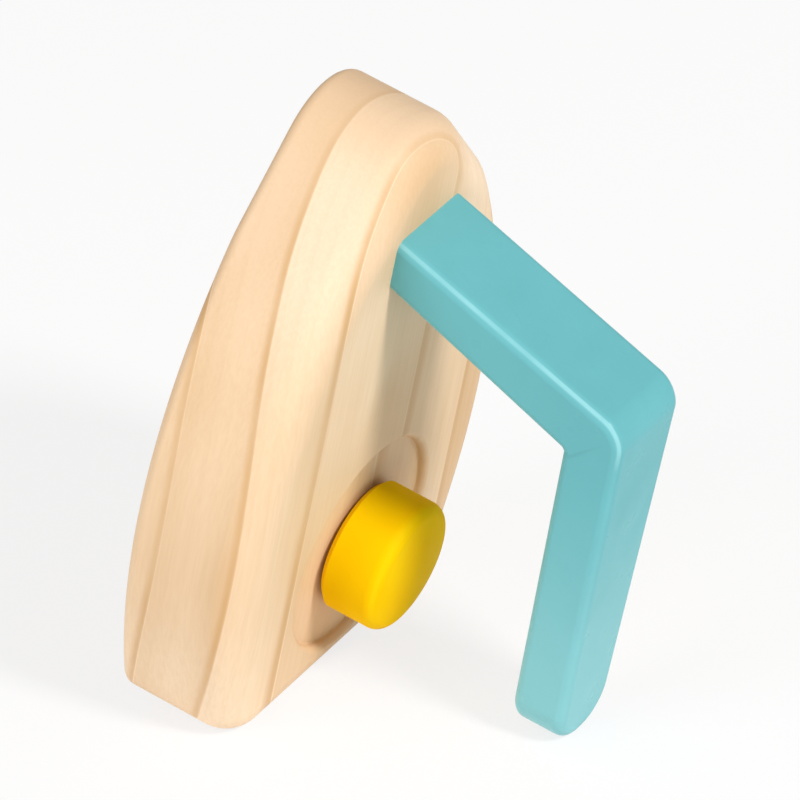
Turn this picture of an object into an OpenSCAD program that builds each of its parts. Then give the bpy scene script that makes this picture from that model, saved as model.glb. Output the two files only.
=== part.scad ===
// A toy iron of solid wood, standing tipped on its heel and on the free end of its handle.
// Each piece is drawn upright: the sole faces -X, the nose points up, Y runs across.
// The whole toy then leans over by "lean" until the free end of the handle meets the ground.
// X points to the handle, Z up; the origin is on the ground under the middle of the toy.

/* [Body] */
// Length of the body from the heel to the nose
body_l = 153.5; // [148:0.5:160]
// Width of the body at its widest
body_w = 103.5; // [98:0.5:110]
// Thickness of the body from the sole to the top face
body_t = 32; // [30:1:38]
// Height of the widest place above the heel, as a share of the length
widest_z_share = 0.355; // [0.33:0.005:0.38]
// Radius of the long side curve below the widest place
rear_side_r = 150; // [140:1:220]
// Height where side and flank would meet if the shoulder were not round, as a share of the length
flank_z_share = 0.83; // [0.82:0.005:0.84]
// Half width at the same place, as a share of the half width of the body
flank_y_share = 0.6; // [0.59:0.005:0.62]
// Radius of the shoulder where the side turns in to the nose
shoulder_r = 30; // [24:1:36]
// Radius of the nose seen from above
nose_r = 18.5; // [16:0.5:22]
// Radius of the heel corners seen from above
heel_corner_r = 10.2; // [10:0.1:14]
// Rounding of the edge around the top face
top_round = 9.5; // [7:0.5:9.5]
// Rounding of the edge around the sole
sole_round = 3; // [2:0.5:5]
// Lean of the body towards the handle, in degrees
lean = 14; // [13:0.1:15]

/* [Handle] */
// Width of the handle at its root, across the toy
handle_w = 26.5; // [24:0.5:28]
// Width of the handle at its elbow
elbow_w = 26; // [23:0.5:27]
// Width of the grip at its free end
grip_end_w = 20.5; // [20:0.5:24]
// Height of the outer face of the grip above the top face
reach = 62.6; // [58:0.1:68]
// Height of the middle of the handle's root above the heel
root_z = 124.4; // [123.5:0.1:126]
// Depth of the root, along the length of the body
root_t = 13.6; // [11:0.1:14.5]
// Height of the outer corner of the elbow above the heel
elbow_out_z = 111.5; // [110:0.5:113]
// Clear height of the hand gap at the inner corner of the elbow
elbow_gap = 48.5; // [46:0.5:50]
// Height of the inner corner of the elbow above the heel
elbow_in_z = 99.8; // [99:0.1:103]
// Depth of the grip at its free end
grip_end_t = 13.5; // [10:0.5:15]
// Rounding of the outer corner of the elbow
elbow_r = 8; // [5:0.5:12]
// Rounding of the two corners of the free end, across the width
grip_end_r = 9.5; // [7:0.5:9.5]
// Rounding along the edges of the handle
handle_round = 2.5; // [1.5:0.5:3]

/* [Dial] */
// Height of the dial's axis above the heel
dial_z = 36; // [35:0.5:42]
// Diameter of the knob
knob_d = 32; // [28:1:36]
// Height of the knob from its base to the middle of its face
knob_h = 16; // [14:0.1:20]
// Rise of the domed face of the knob
knob_dome = 1.2; // [0.5:0.1:2.5]
// Rounding of the front edge of the knob
knob_round = 2.2; // [1:0.1:3]
// Chamfer around the base of the knob
knob_base_chamfer = 0.6; // [0.3:0.1:1]
// Diameter of the round pocket that the knob sits in
pocket_d = 53; // [48:1:54]
// Depth of the pocket
pocket_depth = 2.2; // [1.9:0.1:3]
// Width of the sloping band around the mouth of the pocket
pocket_lip = 1.6; // [0.4:0.1:1.8]
// Diameter of the dowel that the knob turns on
axle_d = 10; // [8:0.5:12]
// Depth of the axle's socket in the knob
axle_socket = 10; // [8:0.5:11]
// Outer diameter of the felt friction washer
felt_d = 24; // [20:1:27]
// Thickness of the felt friction washer
felt_t = 0.8; // [0.5:0.1:1]
// Outer diameter of the steel retaining washer
washer_d = 15; // [14:0.5:16]
// Thickness of the steel retaining washer
washer_t = 1.2; // [0.8:0.1:1.6]
// Shank diameter of the retaining screw
dial_screw_d = 3.5; // [3:0.1:4]
// Length of the retaining screw under its head
dial_screw_l = 16; // [12:1:18]
// Head diameter of the retaining screw
dial_head_d = 7; // [6:0.5:8]
// Head height of the retaining screw
dial_head_h = 2.4; // [2:0.1:3]
// Diameter of the plug that covers the retaining screw
dial_plug_d = 18; // [17:0.5:20]
// Depth of the retaining screw's counterbore in the sole
dial_cbore_depth = 11; // [10:0.5:12]

/* [Handle joint] */
// Drop of the dowels and the screw below the middle of the handle's root
joint_drop = 1.6; // [1.2:0.1:2]
// Diameter of the two handle dowels
dowel_d = 5; // [4:0.5:5.5]
// Distance between the two handle dowels
dowel_pitch = 16; // [14:0.5:17]
// Depth of each dowel in the handle
dowel_in_handle = 10; // [8:0.5:11]
// Depth of each dowel in the body
dowel_in_body = 15; // [12:0.5:20]
// Shank diameter of the handle screw
handle_screw_d = 3.5; // [3:0.1:4]
// Depth of the handle screw in the handle
screw_in_handle = 12; // [9:0.5:12]
// Head diameter of the handle screw
handle_head_d = 7; // [6:0.5:8]
// Head height of the handle screw
handle_head_h = 2.4; // [2:0.1:3]
// Diameter of the plug that covers the handle screw
handle_plug_d = 10; // [9:0.5:12]
// Depth of the handle screw's counterbore in the sole
handle_cbore_depth = 8; // [7.5:0.5:10]
// Thickness of the two sole plugs
plug_t = 4; // [3:0.5:4.5]

/* [Fits] */
// Radial clearance of the turning axle in its bore
running_gap = 0.05; // [0.02:0.01:0.1]
// Radial clearance of glued and screwed pieces in their holes
glue_gap = 0.05; // [0.02:0.01:0.1]
// Clear space between a turning piece and its fixed neighbour
turning_gap = 0.3; // [0.2:0.05:0.5]
// Radial clearance of a screw's shank where it only passes through
pass_gap = 0.5; // [0.3:0.1:0.8]
// Free depth left at the bottom of a blind hole
end_gap = 0.5; // [0.3:0.1:1]

/* [Hidden] */

pale_wood = [0.93, 0.80, 0.64];
dowel_wood = [0.88, 0.73, 0.54];
teal = [0.40, 0.72, 0.74];
yellow = [0.98, 0.76, 0.02];
zinc = [0.72, 0.73, 0.75];
felt_grey = [0.28, 0.27, 0.26];

// How far a cut runs past the face it opens
overrun = 1;
// Size of the block that trims the handle's root flat
trim = 60;
// Counts: steps along each kind of curve, and facets of round pieces
long_steps = 12;
short_steps = 8;
edge_steps = 5;
bead_steps = 6;
bead_sides = 22;
round_sides = 96;
pin_sides = 48;

// Centres of the arcs of the plan outline, as [across, up]; half of it, the other half mirrored
half_w = body_w / 2;
widest_z = widest_z_share * body_l;
flank_corner = [flank_y_share * half_w, flank_z_share * body_l];
front_rise = flank_corner[1] - widest_z;
front_in = half_w - flank_corner[0];
front_side_r = (pow(front_rise, 2) + pow(front_in, 2)) / (2 * front_in);
nose_c = [0, body_l - nose_r];
nose_way = flank_corner - nose_c;
flank_angle = atan2(nose_way[1], nose_way[0]) + acos(nose_r / norm(nose_way));
flank_n = [cos(flank_angle), sin(flank_angle)];
front_c = [half_w - front_side_r, widest_z];
rear_c = [half_w - rear_side_r, widest_z];
flank_reach = nose_c * flank_n + nose_r;
shoulder_a = flank_angle
    - acos((flank_reach - shoulder_r - front_c * flank_n) / (front_side_r - shoulder_r));
shoulder_c = front_c + (front_side_r - shoulder_r) * [cos(shoulder_a), sin(shoulder_a)];
corner_drop = widest_z - heel_corner_r;
corner_c = [rear_c[0] + sqrt(pow(rear_side_r - heel_corner_r, 2) - pow(corner_drop, 2)), heel_corner_r];
corner_a = atan2(-corner_drop, corner_c[0] - rear_c[0]);

// Points of an arc; "first" is 1 where the arc goes on from the end of the last one
function arc(c, r, a0, a1, steps, first = 0) =
    [for (i = [first:steps]) let (a = a0 + (a1 - a0) * i / steps) c + r * [cos(a), sin(a)]];
function half_outline(inset) = concat(
    arc(corner_c, heel_corner_r - inset, -90, corner_a, short_steps),
    arc(rear_c, rear_side_r - inset, corner_a, 0, long_steps, first = 1),
    arc(front_c, front_side_r - inset, 0, shoulder_a, long_steps, first = 1),
    arc(shoulder_c, shoulder_r - inset, shoulder_a, flank_angle, short_steps, first = 1),
    arc(nose_c, nose_r - inset, flank_angle, 90, long_steps));
function mirrored(points) = [for (i = [len(points) - 2:-1:0]) [-points[i][0], points[i][1]]];
function outline(inset) = concat(half_outline(inset), mirrored(half_outline(inset)));

// Levels of the block from the sole to the top face, as [inset of the outline, place along X]
levels = concat(
    [for (i = [0:edge_steps]) let (a = 90 * i / edge_steps)
        [sole_round * (1 - sin(a)), sole_round * (1 - cos(a)) - body_t]],
    [for (i = [0:edge_steps]) let (a = 90 * i / edge_steps)
        [top_round * (1 - cos(a)), top_round * (sin(a) - 1)]]);

// Height of the free end: the lean brings its outer edge as low as the heel's top edge
heel_sink = top_round * (cos(lean) + sin(lean) - 1);
grip_end_z = (heel_sink + handle_round + (reach - handle_round) * sin(lean)) / cos(lean) - handle_round;

// Corners of the handle seen from the side, as [out from the top face, up from the heel]
root_out = [0, root_z + root_t / 2];
root_in = [0, root_z - root_t / 2];
elbow_out = [reach, elbow_out_z];
elbow_in = [elbow_gap, elbow_in_z];
end_out = [reach, grip_end_z];
end_in = [reach - grip_end_t, grip_end_z];

// Unit vector between two points, and the same turned a quarter left
function along(p, q) = (q - p) / norm(q - p);
function left_of(v) = [-v[1], v[0]];
// Point that lies "r" inside both edges of the corner q, in a loop run with the piece on its left
function inside(p, q, s, r) =
    let (a = left_of(along(p, q)), b = left_of(along(q, s))) q + r * (a + b) / (1 + a * b);
function lerp(p, q, t) = p + (q - p) * t;

// Centres of the edge beads along the side view of the handle
bead_in = inside(root_in, elbow_in, end_in, handle_round);
bead_end_out = [reach - handle_round, grip_end_z + handle_round];
elbow_c = inside(end_out, elbow_out, root_out, elbow_r);
elbow_start = atan2(elbow_out[0] - root_out[0], root_out[1] - elbow_out[1]);

// Shift that brings the middle of the toy over the origin
low_x = (sole_round - body_t) * cos(lean) + sole_round * sin(lean) - sole_round;
high_x = elbow_c[0] * cos(lean) + elbow_c[1] * sin(lean) + elbow_r;
mid_x = (low_x + high_x) / 2;

// Places along the dial's axis and the handle joint, out from the top face
knob_base = turning_gap + felt_t - pocket_depth;
axle_end = dial_cbore_depth - body_t - turning_gap;
joint_z = root_z - joint_drop;
screw_seat = handle_cbore_depth - body_t;

// Stands an upright piece on the ground in its leaning pose
module standing() {
    translate([-mid_x, 0, -heel_sink]) rotate([0, lean, 0]) children();
}

// Cylinder along +X from "from" to "to", at height z above the heel
module bar(d, from, to, z, y = 0, sides = pin_sides) {
    translate([from, y, z]) rotate([0, 90, 0]) cylinder(d = d, h = to - from, $fn = sides);
}

// Solid block with its two rounded rims, a skin stretched over its levels
module body_blank() {
    n = len(outline(0));
    top = len(levels) - 1;
    points = [for (level = levels) for (p = outline(level[0])) [level[1], p[0], p[1]]];
    sides = [for (i = [0:top - 1]) for (j = [0:n - 1]) let (k = (j + 1) % n)
        [i * n + j, (i + 1) * n + j, (i + 1) * n + k, i * n + k]];
    sole = [for (j = [0:n - 1]) j];
    face = [for (j = [n - 1:-1:0]) top * n + j];
    polyhedron(points, concat([sole, face], sides));
}

// Body: the block with the dial's pocket and bore, the dowel sockets and the covered screw holes
module body_block() {
    color(pale_wood) standing() difference() {
        body_blank();
        bar(pocket_d, -pocket_depth, overrun, dial_z, sides = round_sides);
        translate([-pocket_lip, 0, dial_z]) rotate([0, 90, 0])
            cylinder(d1 = pocket_d, d2 = pocket_d + 4 * pocket_lip, h = 2 * pocket_lip, $fn = round_sides);
        bar(axle_d + 2 * running_gap, -body_t, 0, dial_z);
        bar(dial_plug_d + 2 * glue_gap, -body_t - overrun, dial_cbore_depth - body_t, dial_z);
        for (side = [-1, 1]) {
            bar(dowel_d + 2 * glue_gap, -dowel_in_body - end_gap, overrun, joint_z, side * dowel_pitch / 2);
        }
        bar(handle_screw_d + 2 * pass_gap, -body_t, overrun, joint_z);
        bar(handle_plug_d + 2 * glue_gap, -body_t - overrun, screw_seat, joint_z);
    }
}

// Ball that rounds a corner of the handle, with a ring of its facets in the side view
module bead(p, y) {
    translate([p[0], y, p[1]]) rotate([90, 0, 0]) sphere(r = handle_round, $fn = bead_sides);
}

// The same bead on both sides of the handle, as far apart as at the elbow unless y is given
module bead_pair(p, y = elbow_w / 2 - handle_round) {
    bead(p, y);
    bead(p, -y);
}

// Beads round the outer corner of the elbow
module elbow_beads() {
    for (i = [0:bead_steps]) {
        a = lerp(elbow_start, 0, i / bead_steps);
        bead_pair(elbow_c + (elbow_r - handle_round) * [cos(a), sin(a)]);
    }
}

// Beads round the free end, whose two corners are round across the width
module end_beads() {
    for (i = [0:bead_steps]) {
        a = 90 * i / bead_steps;
        y = grip_end_w / 2 - grip_end_r + (grip_end_r - handle_round) * sin(a);
        z = grip_end_z + grip_end_r - (grip_end_r - handle_round) * cos(a);
        inner = lerp(bead_in, inside(elbow_in, end_in, end_out, handle_round),
            (bead_in[1] - z) / (bead_in[1] - bead_end_out[1]));
        bead_pair([bead_end_out[0], z], y);
        bead_pair([inner[0], z], y);
    }
}

// Handle: an upright and a grip, one bent piece, glued flat on the top face
module handle() {
    below = 2 * handle_round;
    root_y = handle_w / 2 - handle_round;
    root_a = inside(root_out, root_in, elbow_in, handle_round) + below * along(elbow_in, root_in);
    root_b = inside(elbow_out, root_out, root_in, handle_round) + below * along(elbow_out, root_out);
    color(teal) standing() difference() {
        union() {
            hull() {
                bead_pair(root_a, root_y);
                bead_pair(root_b, root_y);
                bead_pair(bead_in);
                elbow_beads();
            }
            hull() {
                bead_pair(bead_in);
                elbow_beads();
                end_beads();
            }
        }
        translate([-trim, -trim / 2, root_z - trim / 2]) cube(trim);
        for (side = [-1, 1]) {
            bar(dowel_d + 2 * glue_gap, -overrun, dowel_in_handle + end_gap, joint_z, side * dowel_pitch / 2);
        }
        bar(handle_screw_d + 2 * glue_gap, -overrun, screw_in_handle + end_gap, joint_z);
    }
}

// Two dowels that key the handle to the body
module handle_dowels() {
    color(dowel_wood) standing() for (side = [-1, 1]) {
        bar(dowel_d, -dowel_in_body, dowel_in_handle, joint_z, side * dowel_pitch / 2);
    }
}

// Wood screw along +X: pan head with a cross recess behind its seat, shank and point ahead of it
module wood_screw(d, length, head_d, head_h, seat, z) {
    point = d;
    slot_w = head_h / 3;
    slot_l = head_d * 3 / 5;
    difference() {
        union() {
            bar(head_d, seat - head_h * 2 / 3, seat, z);
            translate([seat - head_h, 0, z]) rotate([0, 90, 0])
                cylinder(d1 = head_d * 4 / 5, d2 = head_d, h = head_h / 3, $fn = pin_sides);
            bar(d, seat, seat + length - point, z);
            translate([seat + length - point, 0, z]) rotate([0, 90, 0])
                cylinder(d1 = d, d2 = d / 4, h = point, $fn = pin_sides);
        }
        for (turn = [0, 90]) {
            translate([seat - head_h, 0, z]) rotate([turn, 0, 0])
                cube([head_h, slot_w, slot_l], center = true);
        }
    }
}

// Screw that pulls the handle down on the body
module handle_screw() {
    color(zinc) standing()
        wood_screw(handle_screw_d, screw_in_handle - screw_seat, handle_head_d, handle_head_h, screw_seat, joint_z);
}

// Wooden plug over the handle screw, flush with the sole
module handle_screw_plug() {
    color(dowel_wood) standing() bar(handle_plug_d, -body_t, plug_t - body_t, joint_z);
}

// Half section of the knob, as [radius, height above the base]
knob_r = knob_d / 2;
knob_edge_z = knob_h - knob_dome;
dome_r = (pow(knob_r - knob_round, 2) + pow(knob_dome, 2)) / (2 * knob_dome);
dome_a = asin((knob_r - knob_round) / dome_r);
knob_section = concat(
    [[0, 0], [knob_r - knob_base_chamfer, 0], [knob_r, knob_base_chamfer]],
    arc([knob_r - knob_round, knob_edge_z - knob_round], knob_round, 0, 90, short_steps, first = 1),
    arc([0, knob_h - dome_r], dome_r, 90 - dome_a, 90, long_steps, first = 1));

// Turned knob with a blind socket for its axle
module dial_knob() {
    color(yellow) standing() difference() {
        translate([knob_base, 0, dial_z]) rotate([0, 90, 0])
            rotate_extrude($fn = round_sides) polygon(knob_section);
        bar(axle_d + 2 * glue_gap, knob_base - overrun, knob_base + axle_socket + end_gap, dial_z);
    }
}

// Dowel that the knob is glued on, and that turns in the body
module dial_axle() {
    color(dowel_wood) standing() difference() {
        bar(axle_d, axle_end, knob_base + axle_socket, dial_z);
        bar(dial_screw_d + 2 * glue_gap, axle_end - overrun, axle_end - washer_t + dial_screw_l + end_gap, dial_z);
    }
}

// Felt washer on the floor of the pocket, which gives the knob its drag
module dial_felt_washer() {
    color(felt_grey) standing() difference() {
        bar(felt_d, -pocket_depth, felt_t - pocket_depth, dial_z, sides = round_sides);
        bar(axle_d + 2 * turning_gap, -pocket_depth - overrun, felt_t, dial_z);
    }
}

// Steel washer on the end of the axle, wider than the bore, which keeps the knob on
module dial_retaining_washer() {
    color(zinc) standing() difference() {
        bar(washer_d, axle_end - washer_t, axle_end, dial_z);
        bar(dial_screw_d + 2 * glue_gap, axle_end - washer_t - overrun, axle_end + overrun, dial_z);
    }
}

// Screw that holds the washer on the axle
module dial_retaining_screw() {
    color(zinc) standing()
        wood_screw(dial_screw_d, dial_screw_l, dial_head_d, dial_head_h, axle_end - washer_t, dial_z);
}

// Wooden plug over the retaining screw, flush with the sole
module dial_plug() {
    color(dowel_wood) standing() bar(dial_plug_d, -body_t, plug_t - body_t, dial_z);
}

body_block();
handle();
handle_dowels();
handle_screw();
handle_screw_plug();
dial_knob();
dial_axle();
dial_felt_washer();
dial_retaining_washer();
dial_retaining_screw();
dial_plug();
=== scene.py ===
# A toy iron of solid wood: a pale body, a teal handle and a yellow knob that turns.
# It stands tipped on its heel and on the free end of its handle. Sizes are in metres.
import math
import bmesh
import bpy
from mathutils import Matrix, Vector


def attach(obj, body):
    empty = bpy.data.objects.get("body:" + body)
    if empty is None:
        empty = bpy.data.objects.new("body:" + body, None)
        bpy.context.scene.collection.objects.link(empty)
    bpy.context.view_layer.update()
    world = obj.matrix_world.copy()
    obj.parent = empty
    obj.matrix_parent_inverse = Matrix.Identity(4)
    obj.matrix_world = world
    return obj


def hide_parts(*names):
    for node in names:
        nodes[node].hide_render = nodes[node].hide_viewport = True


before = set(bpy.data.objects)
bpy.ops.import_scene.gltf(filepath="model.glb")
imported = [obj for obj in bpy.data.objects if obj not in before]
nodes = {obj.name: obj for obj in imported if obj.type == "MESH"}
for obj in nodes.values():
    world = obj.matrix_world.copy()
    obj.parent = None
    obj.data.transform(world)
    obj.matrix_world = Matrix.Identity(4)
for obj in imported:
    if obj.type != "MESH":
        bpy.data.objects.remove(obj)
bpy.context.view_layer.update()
MM = 0.001


# Body block
# One block of pale softwood, sawn to the outline of an iron, sanded, with a broad rounding
# round the top face and a small one round the sole. A shallow round pocket is milled for the
# dial, and the holes of the hidden dowels and screws are drilled from both faces.
BODY_LONG, BODY_WIDE, BODY_THICK = 153.5 * MM, 103.5 * MM, 32 * MM
WIDEST_SHARE, FLANK_UP_SHARE, FLANK_OUT_SHARE = 0.355, 0.83, 0.6
REAR_R, SHOULDER_R, NOSE_R, HEEL_CORNER_R = 150 * MM, 30 * MM, 18.5 * MM, 10.2 * MM
TOP_ROUND, SOLE_ROUND = 9.5 * MM, 3 * MM
DIAL_UP, AXLE_D = 36 * MM, 10 * MM
POCKET_D, POCKET_DEEP, POCKET_LIP, POCKET_FOOT = 53 * MM, 2.2 * MM, 1.6 * MM, 0.35 * MM
JOINT_UP, DOWEL_D, DOWEL_PITCH, DOWEL_DEEP = 122.8 * MM, 5 * MM, 16 * MM, 15.5 * MM
SCREW_HOLE_D, SMALL_PLUG_D, BIG_PLUG_D = 4.5 * MM, 10 * MM, 18 * MM
SMALL_PLUG_HOLE, BIG_PLUG_HOLE = 8 * MM, 11 * MM
BORE_PLAY, BORE_CHAMFER = 0.1 * MM, 0.3 * MM

# The toy is drawn upright, its top face on X = 0 and its heel on Z = 0. Then it leans over
# towards its handle, its footprint centred and its lowest point on the ground.
LEAN = math.radians(14)
HEEL_SINK = TOP_ROUND * (math.cos(LEAN) + math.sin(LEAN) - 1)
FOOTPRINT_MIDDLE = Vector((28.0599 * MM, 0, HEEL_SINK))
STAND = Matrix.Translation(-FOOTPRINT_MIDDLE) @ Matrix.Rotation(LEAN, 4, "Y")

# "Same place" for points of a drawing, and what every rounding of a drawing has in common.
SAME_PLACE = 1e-6
ROUNDING = dict(offset_type="OFFSET", profile=0.5, affect="EDGES", material=-1,
                clamp_overlap=False)


def go_straight(bm, end, y, z, x=0.0):
    """Draws a straight edge from the vertex "end" and returns its new end."""
    new = bmesh.ops.extrude_vert_indiv(bm, verts=[end])["verts"][0]
    new.co = (x, y, z)
    return new


def go_round(bm, end, centre, degrees, steps):
    """Draws an arc about X from the vertex "end", round "centre", and returns its new end."""
    arc = bmesh.ops.spin(bm, geom=[end], cent=centre, axis=(1, 0, 0),
                         angle=math.radians(degrees), steps=steps, use_duplicate=False)
    return [v for v in arc["geom_last"] if isinstance(v, bmesh.types.BMVert)][0]


def pull_out(bm, way):
    """Fills the closed drawing with a face and pulls it out by the vector "way"."""
    bmesh.ops.contextual_create(bm, geom=bm.edges[:])
    pulled = bmesh.ops.extrude_face_region(bm, geom=bm.faces[:])["geom"]
    bmesh.ops.translate(bm, vec=way, verts=[v for v in pulled if isinstance(v, bmesh.types.BMVert)])
    bmesh.ops.recalc_face_normals(bm, faces=bm.faces)


def turned(profile, steps, at):
    """A turned piece: rows of (distance along X, radius) spun about the X axis through "at"."""
    bm = bmesh.new()
    end = bm.verts.new((profile[0][0], 0, profile[0][1]))
    for along, radius in profile[1:]:
        end = go_straight(bm, end, 0, radius, along)
    bmesh.ops.spin(bm, geom=bm.verts[:] + bm.edges[:], cent=(0, 0, 0), axis=(1, 0, 0),
                   angle=math.tau, steps=steps, use_merge=True)
    bmesh.ops.remove_doubles(bm, verts=bm.verts, dist=SAME_PLACE / 10)
    bmesh.ops.recalc_face_normals(bm, faces=bm.faces)
    bmesh.ops.translate(bm, verts=bm.verts, vec=at)
    return bm


def put_in_scene(name, data):
    """A new object in the scene, with this mesh, lamp or camera."""
    thing = bpy.data.objects.new(name, data)
    bpy.context.collection.objects.link(thing)
    return thing


def mesh_object(bm, name):
    """A mesh object in the scene, from a bmesh that is then freed."""
    mesh = bpy.data.meshes.new(name)
    bm.to_mesh(mesh)
    bm.free()
    return put_in_scene(name, mesh)


def new_piece(bm, name):
    """A piece of the toy in its upright drawing, with its faces outwards."""
    bmesh.ops.recalc_face_normals(bm, faces=bm.faces)
    return mesh_object(bm, name)


def drill(target, cutters):
    """Cuts each turned cutter out of the mesh object "target" and applies the cut."""
    for bm in cutters:
        tool = mesh_object(bm, "drill")
        cut = target.modifiers.new("drill", "BOOLEAN")
        cut.operation, cut.solver, cut.object = "DIFFERENCE", "EXACT", tool
        depsgraph = bpy.context.evaluated_depsgraph_get()
        cut_mesh = bpy.data.meshes.new_from_object(target.evaluated_get(depsgraph))
        target.modifiers.clear()
        target.data = cut_mesh
        bpy.data.objects.remove(tool)


def stand_up(piece, body, material, smooth_below=32):
    """Leans the piece into its place, smooths it, gives it its finish and its body."""
    piece.data.transform(STAND)
    piece.data.polygons.foreach_set("use_smooth", [True] * len(piece.data.polygons))
    piece.data.set_sharp_from_angle(angle=math.radians(smooth_below))
    even = piece.modifiers.new("even_shading", "WEIGHTED_NORMAL")
    even.keep_sharp = True
    give_finish(piece, material)
    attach(piece, body)


def give_finish(piece, material):
    """Gives a piece this one material in place of what it had."""
    piece.data.materials.clear()
    piece.data.materials.append(material)


def new_finish(name):
    """A new material, with its node tree and its Principled shader."""
    material = bpy.data.materials.new(name)
    material.use_nodes = True
    return material, material.node_tree, material.node_tree.nodes["Principled BSDF"]


def add_node(tree, kind, **settings):
    """A shader node; a setting is a property, or a socket's value where it starts with in_."""
    node = tree.nodes.new(kind)
    for key, value in settings.items():
        if key.startswith("in_"):
            node.inputs[key[3:].replace("_", " ")].default_value = value
        else:
            setattr(node, key, value)
    return node


def math_node(tree, operation, a, b=0.0):
    """A Math node whose inputs are numbers or output sockets; returns its output."""
    node = add_node(tree, "ShaderNodeMath", operation=operation)
    for socket, value in zip(node.inputs, (a, b)):
        if isinstance(value, (int, float)):
            socket.default_value = value
        else:
            tree.links.new(value, socket)
    return node.outputs[0]


def times(tree, a, b):
    return math_node(tree, "MULTIPLY", a, b)


def plus(tree, a, b):
    return math_node(tree, "ADD", a, b)


def minus(tree, a, b):
    return math_node(tree, "SUBTRACT", a, b)


def ramp(tree, value, over, out=(0.0, 1.0)):
    """A smooth step from one number of "out" to the other, as "value" passes over a range."""
    node = add_node(tree, "ShaderNodeMapRange", interpolation_type="SMOOTHSTEP")
    for socket, number in zip(node.inputs[1:5], (*over, *out)):
        socket.default_value = number
    tree.links.new(value, node.inputs[0])
    return node.outputs[0]


def pulse(tree, value, rise, fall):
    """A smooth step up over the range "rise", and down again over "fall"."""
    return times(tree, ramp(tree, value, rise), ramp(tree, value, fall, (1.0, 0.0)))


def split_axes(tree, vector):
    """The X, Y and Z of a vector."""
    node = add_node(tree, "ShaderNodeSeparateXYZ")
    tree.links.new(vector, node.inputs[0])
    return node.outputs


def blend_colour(tree, share, a, b):
    """A Mix node for colours, where a, b and share are values or output sockets."""
    node = add_node(tree, "ShaderNodeMix", data_type="RGBA", blend_type="MIX")
    for socket, value in ((node.inputs[0], share), (node.inputs[6], a), (node.inputs[7], b)):
        if hasattr(value, "is_linked"):
            tree.links.new(value, socket)
        else:
            socket.default_value = value
    return node.outputs[2]


def noise(tree, place, scale=1.0, stretch=(1, 1, 1), detail=3.0, rough=0.5):
    """A Noise texture in [0, 1], its place stretched first."""
    turn = add_node(tree, "ShaderNodeMapping", in_Scale=stretch)
    tree.links.new(place, turn.inputs["Vector"])
    node = add_node(tree, "ShaderNodeTexNoise", in_Scale=scale, in_Detail=detail,
                    in_Roughness=rough)
    tree.links.new(turn.outputs[0], node.inputs["Vector"])
    return node.outputs["Fac"]


def emboss(tree, height, shader, strength, depth):
    """Lets a height raise and lower a shader's surface through a Bump node."""
    bump = add_node(tree, "ShaderNodeBump", in_Strength=strength, in_Distance=depth)
    tree.links.new(height, bump.inputs["Height"])
    tree.links.new(bump.outputs[0], shader.inputs["Normal"])


def effect_group(name, vectors_in=(), numbers_in=(), vectors_out=(), numbers_out=()):
    """An empty shader node group with named sockets, and its input and output nodes."""
    group = bpy.data.node_groups.new(name, "ShaderNodeTree")
    for way, kind, labels in (("INPUT", "NodeSocketVector", vectors_in),
                              ("INPUT", "NodeSocketFloat", numbers_in),
                              ("OUTPUT", "NodeSocketVector", vectors_out),
                              ("OUTPUT", "NodeSocketFloat", numbers_out)):
        for label in labels:
            group.interface.new_socket(label, in_out=way, socket_type=kind)
    return group, group.nodes.new("NodeGroupInput"), group.nodes.new("NodeGroupOutput")


def srgb(r, g, b):
    """A colour written as on a screen, from 0 to 255, as Blender's linear colour."""
    def linear(c):
        c /= 255
        return c / 12.92 if c <= 0.04045 else ((c + 0.055) / 1.055) ** 2.4
    return (linear(r), linear(g), linear(b), 1.0)


# Most of a noise lies in this range.
MIDTONES = (0.3, 0.7)

# Upright place and facing: the pattern is laid out on the piece before it leans over.
own_axes, _, ends = effect_group("own_axes", vectors_out=("Place", "Facing"))
coords = own_axes.nodes.new("ShaderNodeTexCoord")
unlean = add_node(own_axes, "ShaderNodeMapping", in_Location=STAND.inverted().translation,
                  in_Rotation=(0, -LEAN, 0))
unlean_facing = add_node(own_axes, "ShaderNodeMapping", vector_type="VECTOR",
                         in_Rotation=(0, -LEAN, 0))
own_axes.links.new(coords.outputs["Object"], unlean.inputs[0])
own_axes.links.new(coords.outputs["Normal"], unlean_facing.inputs[0])
own_axes.links.new(unlean.outputs[0], ends.inputs["Place"])
own_axes.links.new(unlean_facing.outputs[0], ends.inputs["Facing"])

# Growth rings as wide cylinders about the tree's heart, which runs along the piece's Z axis.
# Each is a thin dark line with a softer tail, and finer, fainter ones lie between. Fibres run
# along the piece. End grain shows where the surface faces along it, and the same mask paints
# shade where the side turns towards the nose and the heel.
LINE_DARK, TAIL_DARK, FINE_DARK, FINE_PER_RING = 0.75, 0.3, 0.09, 4.37
RING_DRIFT = 1 * MM
timber_grain, given, ends = effect_group(
    "timber_grain", vectors_in=("Place", "Facing"),
    numbers_in=("Heart X", "Heart Y", "Ring Pitch", "Ring Phase"),
    numbers_out=("Late Wood", "Fibre", "End Grain And Shade", "Cloud", "Ring Tone"))
t = timber_grain
place = given.outputs["Place"]
x, y, _ = split_axes(t, place)
across, aside = minus(t, x, given.outputs["Heart X"]), minus(t, y, given.outputs["Heart Y"])
radius = math_node(t, "SQRT", plus(t, times(t, across, across), times(t, aside, aside)))
drift = noise(t, place, stretch=(38, 38, 7), detail=2.0)
radius = plus(t, radius, times(t, minus(t, drift, 0.5), RING_DRIFT))
count = plus(t, math_node(t, "DIVIDE", radius, given.outputs["Ring Pitch"]),
             given.outputs["Ring Phase"])
step = math_node(t, "FRACT", count)
fine_step = math_node(t, "FRACT", times(t, count, FINE_PER_RING))
line = pulse(t, step, (0.0, 0.03), (0.04, 0.15))
tail = pulse(t, step, (0.0, 0.018), (0.02, 0.5))
fine = pulse(t, fine_step, (0.0, 0.1), (0.1, 0.6))
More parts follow.
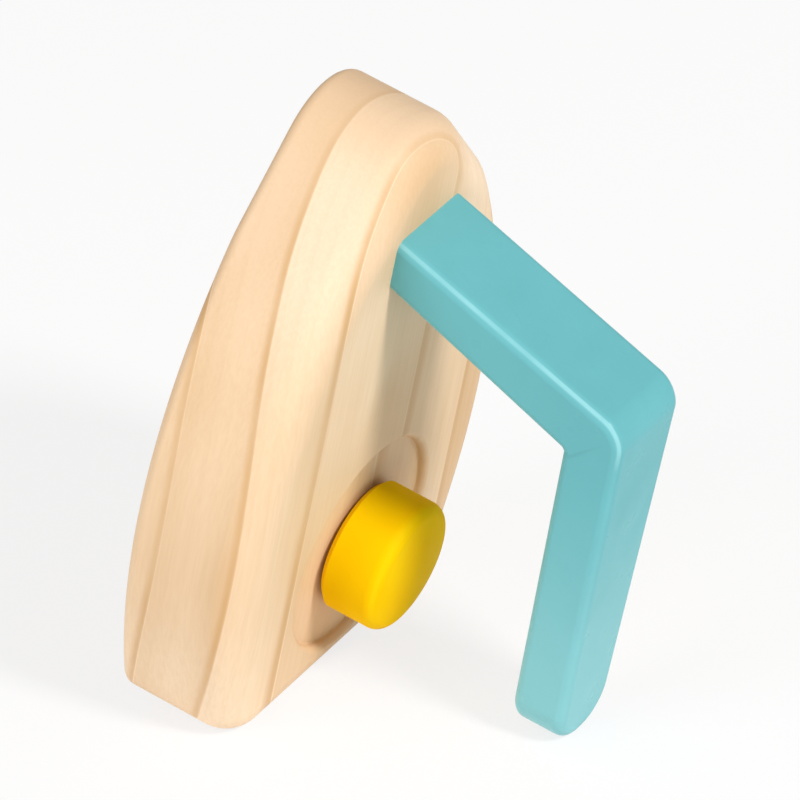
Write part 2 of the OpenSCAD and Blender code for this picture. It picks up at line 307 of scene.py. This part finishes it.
uneven = ramp(t, noise(t, place, stretch=(60, 60, 11), detail=2.0), (0.35, 0.65), (0.45, 0.8))
band = plus(t, times(t, line, LINE_DARK), times(t, tail, TAIL_DARK))
late_wood = math_node(t, "MAXIMUM", band, times(t, fine, FINE_DARK))
t.links.new(times(t, late_wood, uneven), ends.inputs["Late Wood"])
t.links.new(noise(t, place, stretch=(1500, 1500, 42), detail=4.0, rough=0.62),
            ends.inputs["Fibre"])
t.links.new(noise(t, place, stretch=(45, 45, 13)), ends.inputs["Cloud"])
odd = math_node(t, "MODULO", math_node(t, "FLOOR", count), 2.0)
patchy = ramp(t, noise(t, place, stretch=(20, 20, 14), detail=1.0), (0.3, 0.55))
t.links.new(times(t, minus(t, 1.0, odd), patchy), ends.inputs["Ring Tone"])
# End grain where the surface faces along the piece; the wide ramp also paints shade where the side
# turns towards the nose and the heel.
endwise = math_node(t, "ABSOLUTE", split_axes(t, given.outputs["Facing"])[2])
t.links.new(ramp(t, endwise, (0.35, 1.0)), ends.inputs["End Grain And Shade"])

CLOUD_SHARE, RING_TONE_SHARE, FIBRE_SHARE, END_GRAIN_AND_SHADE_SHARE = 0.12, 0.38, 0.1, 0.4
WOOD_ROUGH, FIBRE_ROUGH, END_GRAIN_ROUGH, RING_RELIEF = 0.52, 0.12, 0.12, 0.4
# Where painted light pales the wood: away from this height along the block, and away from its
# centre line.
PAINTED_LIGHT_MIDDLE_UP, ALONG_FADE, ASIDE_FADE = 70 * MM, (20 * MM, 65 * MM), (6 * MM, 20 * MM)


def wood_material(name, early, late, end_grain_and_shade, heart, pitch, phase=0.0, turn_grain=False,
                  ends_painted_light=None):
    """Sanded, clear-oiled wood: rings, fibres and end grain, with painted shade where the side
    turns towards the ends, and where given a paler colour towards both ends of the block and away
    from its middle, which is painted light that makes up for the lamps lighting the middle more."""
    material, tree, wood = new_finish(name)
    axes = add_node(tree, "ShaderNodeGroup", node_tree=own_axes)
    grain = add_node(tree, "ShaderNodeGroup", node_tree=timber_grain, in_Heart_X=heart[0],
                     in_Heart_Y=heart[1], in_Ring_Pitch=pitch, in_Ring_Phase=phase)
    place, facing = axes.outputs["Place"], axes.outputs["Facing"]
    if turn_grain:
        quarter_turn = (0, math.radians(90), 0)
        quarter = add_node(tree, "ShaderNodeMapping", in_Rotation=quarter_turn)
        quarter_facing = add_node(tree, "ShaderNodeMapping", vector_type="VECTOR",
                                  in_Rotation=quarter_turn)
        tree.links.new(place, quarter.inputs[0])
        tree.links.new(facing, quarter_facing.inputs[0])
        place, facing = quarter.outputs[0], quarter_facing.outputs[0]
    tree.links.new(place, grain.inputs["Place"])
    tree.links.new(facing, grain.inputs["Facing"])
    clouded = tuple((1 - CLOUD_SHARE) * e + CLOUD_SHARE * l for e, l in zip(early, late))
    pale = blend_colour(tree, ramp(tree, grain.outputs["Cloud"], MIDTONES), early, clouded)
    # Painted light: paler towards both ends and away from the centre line, making up for the lamps
    # lighting the middle of the side more.
    if ends_painted_light:
        _, y, z = split_axes(tree, place)
        along = ramp(tree, math_node(tree, "ABSOLUTE", minus(tree, z, PAINTED_LIGHT_MIDDLE_UP)), ALONG_FADE)
        aside = ramp(tree, math_node(tree, "ABSOLUTE", y), ASIDE_FADE)
        pale = blend_colour(tree, times(tree, along, aside), pale, ends_painted_light)
    ring_tone = times(tree, grain.outputs["Ring Tone"], RING_TONE_SHARE)
    fibres = ramp(tree, grain.outputs["Fibre"], (0.34, 0.66))
    toned = blend_colour(tree, ring_tone, pale, late)
    ringed = blend_colour(tree, grain.outputs["Late Wood"], toned, late)
    streaked = blend_colour(tree, times(tree, fibres, FIBRE_SHARE), ringed, late)
    # End grain colour, which is also painted shade where the side turns towards the ends.
    end_grain_and_shade_share = times(tree, grain.outputs["End Grain And Shade"], END_GRAIN_AND_SHADE_SHARE)
    tree.links.new(blend_colour(tree, end_grain_and_shade_share, streaked, end_grain_and_shade), wood.inputs["Base Color"])
    fibre_rough = plus(tree, times(tree, fibres, FIBRE_ROUGH), WOOD_ROUGH)
    end_rough = times(tree, grain.outputs["End Grain And Shade"], END_GRAIN_ROUGH)
    tree.links.new(plus(tree, fibre_rough, end_rough), wood.inputs["Roughness"])
    ring_rise = times(tree, grain.outputs["Late Wood"], RING_RELIEF)
    emboss(tree, minus(tree, grain.outputs["Fibre"], ring_rise), wood, strength=0.15,
           depth=0.1 * MM)
    wood.inputs["IOR"].default_value = 1.45
    wood.inputs["Coat Weight"].default_value = 0.08
    wood.inputs["Coat Roughness"].default_value = 0.35
    return material


# The body's paler colour towards its ends is painted light.
body_wood = wood_material("body_wood", srgb(242, 211, 173), srgb(206, 158, 98),
                          srgb(236, 206, 174), heart=(42.8 * MM, -10.3 * MM),
                          pitch=15.75 * MM, phase=0.02, ends_painted_light=srgb(250, 224, 192))

# The outline is drawn as one half, from the middle of the heel to the nose, then mirrored. It
# goes round the heel's corner, up a long rear arc to the widest place, in along a front arc,
# round a shoulder, up a straight flank and round the nose, without a kink anywhere.
half_wide, widest_up = BODY_WIDE / 2, WIDEST_SHARE * BODY_LONG
flank_corner = Vector((FLANK_OUT_SHARE * half_wide, FLANK_UP_SHARE * BODY_LONG))
front_rise, front_in = flank_corner[1] - widest_up, half_wide - flank_corner[0]
front_r = (front_rise ** 2 + front_in ** 2) / (2 * front_in)
front_c = Vector((half_wide - front_r, widest_up))
nose_c = Vector((0, BODY_LONG - NOSE_R))
nose_way = flank_corner - nose_c
flank = math.atan2(nose_way[1], nose_way[0]) + math.acos(NOSE_R / nose_way.length)
flank_n = Vector((math.cos(flank), math.sin(flank)))
shoulder_reach = nose_c @ flank_n + NOSE_R - SHOULDER_R - front_c @ flank_n
shoulder = flank - math.acos(shoulder_reach / (front_r - SHOULDER_R))
shoulder_way = Vector((math.cos(shoulder), math.sin(shoulder)))
shoulder_c = front_c + (front_r - SHOULDER_R) * shoulder_way
rear_out, drop = half_wide - REAR_R, widest_up - HEEL_CORNER_R
corner_out = rear_out + math.sqrt((REAR_R - HEEL_CORNER_R) ** 2 - drop ** 2)
corner_c = Vector((corner_out, HEEL_CORNER_R))
corner = math.atan2(-drop, corner_c[0] - rear_out)

bm = bmesh.new()
end = bm.verts.new((0, 0, 0))
end = go_straight(bm, end, corner_c[0], 0)
end = go_round(bm, end, (0, *corner_c), 90 + math.degrees(corner), steps=14)
end = go_round(bm, end, (0, rear_out, widest_up), -math.degrees(corner), steps=22)
end = go_round(bm, end, (0, *front_c), math.degrees(shoulder), steps=30)
end = go_round(bm, end, (0, *shoulder_c), math.degrees(flank - shoulder), steps=8)
end = go_straight(bm, end, *(nose_c + NOSE_R * flank_n))
end = go_round(bm, end, (0, *nose_c), 90 - math.degrees(flank), steps=14)
bmesh.ops.mirror(bm, geom=bm.verts[:] + bm.edges[:], axis="Y", merge_dist=SAME_PLACE)
bmesh.ops.remove_doubles(bm, verts=bm.verts, dist=SAME_PLACE)
pull_out(bm, (-BODY_THICK, 0, 0))
for at, size, steps in ((0, TOP_ROUND, 12), (-BODY_THICK, SOLE_ROUND, 7)):
    rim = [e for e in bm.edges if all(abs(v.co.x - at) < SAME_PLACE for v in e.verts)]
    bmesh.ops.bevel(bm, geom=rim, offset=size, segments=steps, **ROUNDING)
body = new_piece(bm, "wooden_body")

# The pocket's cutter leaves a small fillet at its foot and a rounded lip at its mouth.
OVER, FLARE = 1 * MM, 0.1 * MM
pocket_r, floor_x, sole_x = POCKET_D / 2, -POCKET_DEEP, -BODY_THICK
pocket = [(floor_x, 0), (floor_x, pocket_r - POCKET_FOOT)]
for a in map(math.radians, (30, 60, 90)):
    pocket.append((floor_x + POCKET_FOOT * (1 - math.cos(a)),
                   pocket_r - POCKET_FOOT * (1 - math.sin(a))))
for a in map(math.radians, (0, 12, 24, 36, 48, 60, 70, 80, 86)):
    pocket.append((-POCKET_LIP * (1 - math.sin(a)), pocket_r + POCKET_LIP * (1 - math.cos(a))))
pocket += [(OVER, pocket_r + POCKET_LIP + FLARE), (OVER, 0)]


def hole(diameter, start, stop, y, z, steps, lip=0.0):
    """A straight drill from "start" to "stop" along X, with a small chamfer at the sole."""
    rows = [(start, 0), (start, diameter / 2 + lip)]
    if lip:
        rows += [(sole_x, diameter / 2 + lip), (sole_x + lip, diameter / 2)]
    rows += [(stop, diameter / 2), (stop, 0)]
    return turned(rows, steps, at=(0, y, z))


cutters = [
    turned(pocket, steps=128, at=(0, 0, DIAL_UP)),
    hole(AXLE_D + BORE_PLAY, sole_x + BIG_PLUG_HOLE - OVER, floor_x + OVER, 0, DIAL_UP, steps=48),
    hole(BIG_PLUG_D + BORE_PLAY, sole_x - OVER, sole_x + BIG_PLUG_HOLE, 0, DIAL_UP, steps=96,
         lip=BORE_CHAMFER),
    hole(SMALL_PLUG_D + BORE_PLAY, sole_x - OVER, sole_x + SMALL_PLUG_HOLE, 0, JOINT_UP,
         steps=64, lip=BORE_CHAMFER),
    hole(SCREW_HOLE_D, sole_x + SMALL_PLUG_HOLE - OVER, OVER, 0, JOINT_UP, steps=32)]
for side in (-1, 1):
    cutters.append(hole(DOWEL_D + BORE_PLAY, -DOWEL_DEEP, OVER, side * DOWEL_PITCH / 2, JOINT_UP,
                        steps=32))
drill(body, cutters)
stand_up(body, "iron", body_wood)
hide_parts("body_block")


# Handle
# A bent bar of beech, sawn in one piece, every edge rounded, the elbow and the free end
# rounded more. It is dipped in teal paint, and its root is glued and screwed to the top face.
ROOT_WIDE, ELBOW_WIDE, END_WIDE = 26.5 * MM, 26 * MM, 20.5 * MM
REACH, ROOT_UP, ROOT_THICK, GRIP_END_THICK = 62.6 * MM, 124.4 * MM, 13.6 * MM, 13.5 * MM
ELBOW_OUT_UP, ELBOW_GAP, ELBOW_IN_UP = 111.5 * MM, 48.5 * MM, 99.8 * MM
ELBOW_R, ELBOW_IN_ROUND, GRIP_END_R, HANDLE_ROUND = 8 * MM, 0.8 * MM, 9.5 * MM, 2.5 * MM
NEAR, SHARP = 1e-5, math.radians(50)

# The free end is cut where its outer rounded edge meets the ground as the toy leans.
end_rise = HEEL_SINK + HANDLE_ROUND + (REACH - HANDLE_ROUND) * math.sin(LEAN)
grip_end_up = end_rise / math.cos(LEAN) - HANDLE_ROUND

corners = {"root_out": (0, ROOT_UP + ROOT_THICK / 2), "elbow_out": (REACH, ELBOW_OUT_UP),
           "end_out": (REACH, grip_end_up), "end_in": (REACH - GRIP_END_THICK, grip_end_up),
           "elbow_in": (ELBOW_GAP, ELBOW_IN_UP), "root_in": (0, ROOT_UP - ROOT_THICK / 2)}
path = list(corners.values())
bm = bmesh.new()
first = end = bm.verts.new((path[0][0], -ELBOW_WIDE / 2, path[0][1]))
for x, z in path[1:]:
    end = go_straight(bm, end, -ELBOW_WIDE / 2, z, x)
bm.edges.new((end, first))
pull_out(bm, (0, ELBOW_WIDE, 0))


def edges_at(bm, *points):
    """The edges whose two ends both lie, seen from the side, on the given corners."""
    def near(v):
        return any(abs(v.co.x - x) < NEAR and abs(v.co.z - z) < NEAR for x, z in points)
    return [e for e in bm.edges if all(near(v) for v in e.verts)]


def across_edges(bm, point):
    """The edges that run across the handle's width at a corner."""
    return [e for e in edges_at(bm, point)
            if abs(e.verts[0].co.y - e.verts[1].co.y) > ELBOW_WIDE / 2]


turn = math.atan2(REACH, ROOT_UP + ROOT_THICK / 2 - ELBOW_OUT_UP)
bmesh.ops.bevel(bm, geom=across_edges(bm, corners["elbow_out"]),
                offset=ELBOW_R * math.tan(turn / 2), segments=10, **ROUNDING)
bmesh.ops.bevel(bm, geom=across_edges(bm, corners["elbow_in"]), offset=ELBOW_IN_ROUND,
                segments=4, **ROUNDING)

# Its width tapers a little from the root to the elbow and more to the free end, so each side
# is split at the elbow into two flat faces.
for v in bm.verts:
    if v.co.x < NEAR:
        v.co.y *= ROOT_WIDE / ELBOW_WIDE
    elif v.co.z < grip_end_up + NEAR:
        v.co.y *= END_WIDE / ELBOW_WIDE
for side in (-1, 1):
    one_side = [v for v in bm.verts if v.co.y * side > 0]
    elbow = [min(one_side, key=lambda v: math.hypot(v.co.x - x, v.co.z - z))
             for x, z in (corners["elbow_out"], corners["elbow_in"])]
    bmesh.ops.connect_verts(bm, verts=elbow)
end_corners = [e for e in edges_at(bm, corners["end_out"], corners["end_in"])
               if abs(e.verts[0].co.y - e.verts[1].co.y) < SAME_PLACE]
bmesh.ops.bevel(bm, geom=end_corners, offset=GRIP_END_R, segments=12, **ROUNDING)
arrises = [e for e in bm.edges
           if e.calc_face_angle(0) > SHARP and any(v.co.x > NEAR for v in e.verts)]
bmesh.ops.bevel(bm, geom=arrises, offset=HANDLE_ROUND, segments=6, **ROUNDING)
handle = new_piece(bm, "bent_handle")

# Paint film: it pools a little, shows the sanded grain and carries a painted highlight, pale and
# patchy along the arrises.
paint_film, given, ends = effect_group("paint_film", vectors_in=("Place",), numbers_in=("Arris",),
                                       numbers_out=("Tone", "Arris Highlight", "Height", "Gloss"))
p = paint_film
place = given.outputs["Place"]
peel = noise(p, place, 620.0, detail=2.0)
grain_line = noise(p, place, stretch=(900, 900, 60))
# Patchy pale marks of the painted highlight on the arrises.
patchy_highlight = ramp(p, noise(p, place, 60.0), (0.25, 0.7), (0.45, 1.0))
p.links.new(plus(p, times(p, peel, 0.6), times(p, grain_line, 0.5)), ends.inputs["Height"])
p.links.new(ramp(p, noise(p, place, stretch=(55, 55, 30)), MIDTONES), ends.inputs["Tone"])
p.links.new(times(p, given.outputs["Arris"], patchy_highlight), ends.inputs["Arris Highlight"])
p.links.new(ramp(p, noise(p, place, 95.0), MIDTONES), ends.inputs["Gloss"])

# A painted highlight pales the arrises above a height, and painted light off the floor pales the
# paint towards the ground.
ARRIS_HIGHLIGHT_SHARE, GLOSS_SPREAD, HIGHLIGHT_BELOW_SHARE = 0.7, 0.1, 0.15
ARRIS_SLANTS = (0.42, 0.56), (0.72, 0.86)
HIGHLIGHT_FADE, FLOOR_BOUNCE_UP = 6 * MM, (20 * MM, 100 * MM)


def paint_material(name, colour, deep, painted_light_colour, along, rough, gloss, floor_bounce_share=0.0, highlight_above=0.0):
    """Satin paint on wood; "along" is the axis of the facing that falls off at the arrises.
    It is painted pale on the arrises above a height as a painted highlight, and paler towards the
    ground as painted light bounced off the floor."""
    material, tree, paint = new_finish(name)
    axes = add_node(tree, "ShaderNodeGroup", node_tree=own_axes)
    film = add_node(tree, "ShaderNodeGroup", node_tree=paint_film)
    slant = math_node(tree, "ABSOLUTE", split_axes(tree, axes.outputs["Facing"])[along])
    height = split_axes(tree, axes.outputs["Place"])[2]
    upper = ramp(tree, height, (highlight_above, highlight_above + HIGHLIGHT_FADE), (HIGHLIGHT_BELOW_SHARE, 1.0))
    arris = times(tree, pulse(tree, slant, *ARRIS_SLANTS), upper)
    tree.links.new(axes.outputs["Place"], film.inputs["Place"])
    tree.links.new(arris, film.inputs["Arris"])
    toned = blend_colour(tree, film.outputs["Tone"], colour, deep)
    # Painted light bounced off the floor: the paint is paler towards the ground.
    if floor_bounce_share:
        toned = blend_colour(tree, ramp(tree, height, FLOOR_BOUNCE_UP, (floor_bounce_share, 0.0)), toned, painted_light_colour)
    # Painted highlight along the arrises.
    arris_highlight = times(tree, film.outputs["Arris Highlight"], ARRIS_HIGHLIGHT_SHARE)
    tree.links.new(blend_colour(tree, arris_highlight, toned, painted_light_colour), paint.inputs["Base Color"])
    tree.links.new(plus(tree, times(tree, film.outputs["Gloss"], GLOSS_SPREAD), rough),
                   paint.inputs["Roughness"])
    emboss(tree, film.outputs["Height"], paint, strength=0.05, depth=0.1 * MM)
    paint.inputs["IOR"].default_value = 1.47
    paint.inputs["Specular IOR Level"].default_value = gloss
    return material


# The teal is painted paler towards the ground as light bounced off the floor, and pale along the
# arm's arris above 100 mm as a painted highlight.
teal_paint = paint_material("teal_paint", srgb(109, 184, 190), srgb(106, 179, 185),
                            srgb(160, 218, 222), along=1, rough=0.26, gloss=0.08, floor_bounce_share=0.5,
                            highlight_above=100 * MM)
stand_up(handle, "iron", teal_paint)
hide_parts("handle")


# Dial knob
# A turned knob of beech, painted yellow: a straight side, a soft front edge and a face that
# rises slightly to its middle. It is glued on its axle and turns in the pocket.
KNOB_D, KNOB_HIGH, KNOB_DOME = 32 * MM, 16 * MM, 1.2 * MM
KNOB_ROUND, KNOB_CHAMFER = 3 * MM, 1.3 * MM
KNOB_BORE_DEEP, TURNING_GAP, FELT_THICK = 10.5 * MM, 0.3 * MM, 0.8 * MM
knob_base = TURNING_GAP + FELT_THICK - POCKET_DEEP
knob_r, bore_r, edge_up = KNOB_D / 2, (AXLE_D + BORE_PLAY) / 2, KNOB_HIGH - KNOB_DOME
dome_r = ((knob_r - KNOB_ROUND) ** 2 + KNOB_DOME ** 2) / (2 * KNOB_DOME)
dome = math.asin((knob_r - KNOB_ROUND) / dome_r)
section = [(KNOB_BORE_DEEP, 0), (KNOB_BORE_DEEP, bore_r), (0, bore_r),
           (0, knob_r - KNOB_CHAMFER), (KNOB_CHAMFER, knob_r)]
for a in (math.pi / 2 * i / 10 for i in range(11)):
    section.append((edge_up - KNOB_ROUND * (1 - math.sin(a)),
                    knob_r - KNOB_ROUND * (1 - math.cos(a))))
for a in (dome * (1 - i / 14) for i in range(1, 15)):
    section.append((KNOB_HIGH - dome_r * (1 - math.cos(a)), dome_r * math.sin(a)))
knob = new_piece(turned([(knob_base + x, r) for x, r in section], steps=128,
                        at=(0, 0, DIAL_UP)), "turned_knob")
# The knob's painted highlight colour is kept almost its own yellow.
yellow_paint = paint_material("yellow_paint", srgb(255, 206, 4), srgb(254, 198, 0),
                              srgb(255, 208, 14), along=0, rough=0.5, gloss=0.02)
stand_up(knob, "dial", yellow_paint, smooth_below=28)
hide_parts("dial_knob")


# Felt washer
# A punched disc of brown wool felt on the floor of the pocket. The knob rubs on it, so the
# dial stays where a child leaves it.
FELT_R, FELT_HOLE_R = 12 * MM, 5.3 * MM
FOOT_IN, FOOT_UP, TOP_IN, TOP_DOWN = 0.1 * MM, 0.25 * MM, 0.35 * MM, 0.3 * MM
felt_low, felt_high = -POCKET_DEEP, FELT_THICK - POCKET_DEEP
felt = new_piece(turned([
    (felt_low, FELT_HOLE_R), (felt_low, FELT_R - FOOT_IN), (felt_low + FOOT_UP, FELT_R),
    (felt_high - TOP_DOWN, FELT_R), (felt_high, FELT_R - TOP_IN), (felt_high, FELT_HOLE_R),
    (felt_low, FELT_HOLE_R)], steps=96, at=(0, 0, DIAL_UP)), "felt_washer")
felt_cloth, tree, wool = new_finish("felt")
place = add_node(tree, "ShaderNodeGroup", node_tree=own_axes).outputs["Place"]
hairs = noise(tree, place, 2600.0, detail=5.0, rough=0.7)
tufts = noise(tree, place, 420.0)
matted = ramp(tree, plus(tree, times(tree, hairs, 0.6), times(tree, tufts, 0.4)), (0.35, 0.65))
tree.links.new(blend_colour(tree, matted, srgb(88, 70, 56), srgb(134, 112, 92)),
               wool.inputs["Base Color"])
tree.links.new(ramp(tree, tufts, MIDTONES, (0.88, 1.0)), wool.inputs["Roughness"])
emboss(tree, hairs, wool, strength=0.6, depth=0.2 * MM)
wool.inputs["Sheen Weight"].default_value = 0.5
stand_up(felt, "iron", felt_cloth, smooth_below=40)
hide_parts("dial_felt_washer")


# Sole plugs
# Two plugs cut across the grain from darker beech, tapped in over the screws with a little
# glue and sanded flush with the sole. Each has a fine chamfer that shows as a ring.
PLUG_RIM, PLUG_LONG = 0.3 * MM, 4 * MM
plug_wood = wood_material("plug_wood", srgb(232, 196, 152), srgb(196, 144, 96),
                          srgb(205, 160, 114), heart=(12 * MM, 30 * MM), pitch=2.1 * MM, phase=0.3)
for name, cad_name, plug_r, up in (("large_sole_plug", "dial_plug", BIG_PLUG_D / 2, DIAL_UP),
                                   ("small_sole_plug", "handle_screw_plug", SMALL_PLUG_D / 2,
                                    JOINT_UP)):
    front_x = sole_x + PLUG_LONG
    plug = new_piece(turned([
        (sole_x, 0), (sole_x, plug_r - PLUG_RIM), (sole_x + PLUG_RIM, plug_r),
        (front_x - PLUG_RIM, plug_r), (front_x, plug_r - PLUG_RIM), (front_x, 0)],
        steps=96, at=(0, 0, up)), name)
    stand_up(plug, "iron", plug_wood)
    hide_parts(cad_name)


# Dowels and axle
# Fluted beech dowels in the handle joint, and the smooth dowel that the knob turns on. Their
# grain runs along them, through the thickness of the body. They stay as the CAD's solids.
dowel_wood = wood_material("dowel_wood", srgb(228, 190, 146), srgb(188, 136, 90),
                           srgb(170, 124, 84), heart=(0, 20 * MM), pitch=1.6 * MM,
                           turn_grain=True)
for name in ("handle_dowels", "dial_axle"):
    give_finish(nodes[name], dowel_wood)


# Screws and washer
# Zinc-plated steel: two pan-head wood screws and the washer that keeps the axle in. The
# plating is bright, with faint turning marks round the axis and a slightly uneven passivation.
zinc, tree, metal = new_finish("zinc_steel")
place = add_node(tree, "ShaderNodeGroup", node_tree=own_axes).outputs["Place"]
marks = noise(tree, place, stretch=(9000, 600, 600))
bloom = ramp(tree, noise(tree, place, 700.0), MIDTONES)
tree.links.new(blend_colour(tree, bloom, srgb(196, 199, 204), srgb(214, 212, 200)),
               metal.inputs["Base Color"])
tree.links.new(ramp(tree, marks, MIDTONES, (0.24, 0.42)), metal.inputs["Roughness"])
emboss(tree, marks, metal, strength=0.25, depth=0.05 * MM)
metal.inputs["Metallic"].default_value = 1.0
for name in ("handle_screw", "dial_retaining_screw", "dial_retaining_washer"):
    give_finish(nodes[name], zinc)


# Floor, light and camera
# A plain pale floor that is seen nearly white and keeps the soft shadow, a lamp high on the
# right, a very broad one in front on the left, and an even white sky.
FLOOR_HALF_WIDE, FLOOR_LIFT, SKY_STRENGTH = 6.0, 0.78, 0.34
WHITE = (1.0, 1.0, 1.0, 1.0)
bm = bmesh.new()
bmesh.ops.create_grid(bm, x_segments=2, y_segments=2, size=FLOOR_HALF_WIDE)
floor = mesh_object(bm, "floor")
floor_paint, tree, floor_shader = new_finish("floor")
floor_shader.inputs["Base Color"].default_value = srgb(250, 249, 248)
floor_shader.inputs["Roughness"].default_value = 0.9
floor_shader.inputs["Specular IOR Level"].default_value = 0.1
white = add_node(tree, "ShaderNodeEmission", in_Color=WHITE, in_Strength=1.0)
rays = add_node(tree, "ShaderNodeLightPath").outputs
mirrored = math_node(tree, "MAXIMUM", rays["Is Glossy Ray"], rays["Is Transmission Ray"])
seen = math_node(tree, "MAXIMUM", rays["Is Camera Ray"], mirrored)
lifted = add_node(tree, "ShaderNodeMixShader")
tree.links.new(times(tree, seen, FLOOR_LIFT), lifted.inputs[0])
tree.links.new(floor_shader.outputs[0], lifted.inputs[1])
tree.links.new(white.outputs[0], lifted.inputs[2])
tree.links.new(lifted.outputs[0], tree.nodes["Material Output"].inputs["Surface"])
give_finish(floor, floor_paint)

world = bpy.data.worlds.new("studio")
bpy.context.scene.world = world
world.use_nodes = True
sky = world.node_tree.nodes["Background"]
sky.inputs["Color"].default_value = WHITE
sky.inputs["Strength"].default_value = SKY_STRENGTH

LAMPS_AIM = Vector((0, 0, 70 * MM))
for name, spot, size, watts in (("right", Vector((1.78, -0.36, 1.64)), 0.5, 41),
                                ("front", Vector((-0.77, -1.97, 1.0)), 1.8, 22)):
    lamp = bpy.data.lights.new(name, "AREA")
    lamp.shape, lamp.size, lamp.energy = "DISK", size, watts
    lamp_object = put_in_scene(name, lamp)
    lamp_object.location = spot
    lamp_object.rotation_euler = (LAMPS_AIM - spot).to_track_quat("-Z", "Y").to_euler()

CAMERA_PLACE = Vector((0.99509, -1.51751, 1.20131))
CAMERA_SIGHT = Vector((-0.468374, 0.709413, -0.526648))
CAMERA_ROLL = Matrix.Rotation(math.radians(-3.005), 4, "Z")
camera_data = bpy.data.cameras.new("camera")
camera_data.lens, camera_data.sensor_width = 431.3, 36.0
camera_data.clip_start, camera_data.clip_end = 0.1, 20.0
camera = put_in_scene("camera", camera_data)
level = CAMERA_SIGHT.to_track_quat("-Z", "Y").to_matrix().to_4x4()
camera.matrix_world = Matrix.Translation(CAMERA_PLACE) @ level @ CAMERA_ROLL
bpy.context.scene.camera = camera
bpy.context.scene.view_settings.view_transform = "Standard"
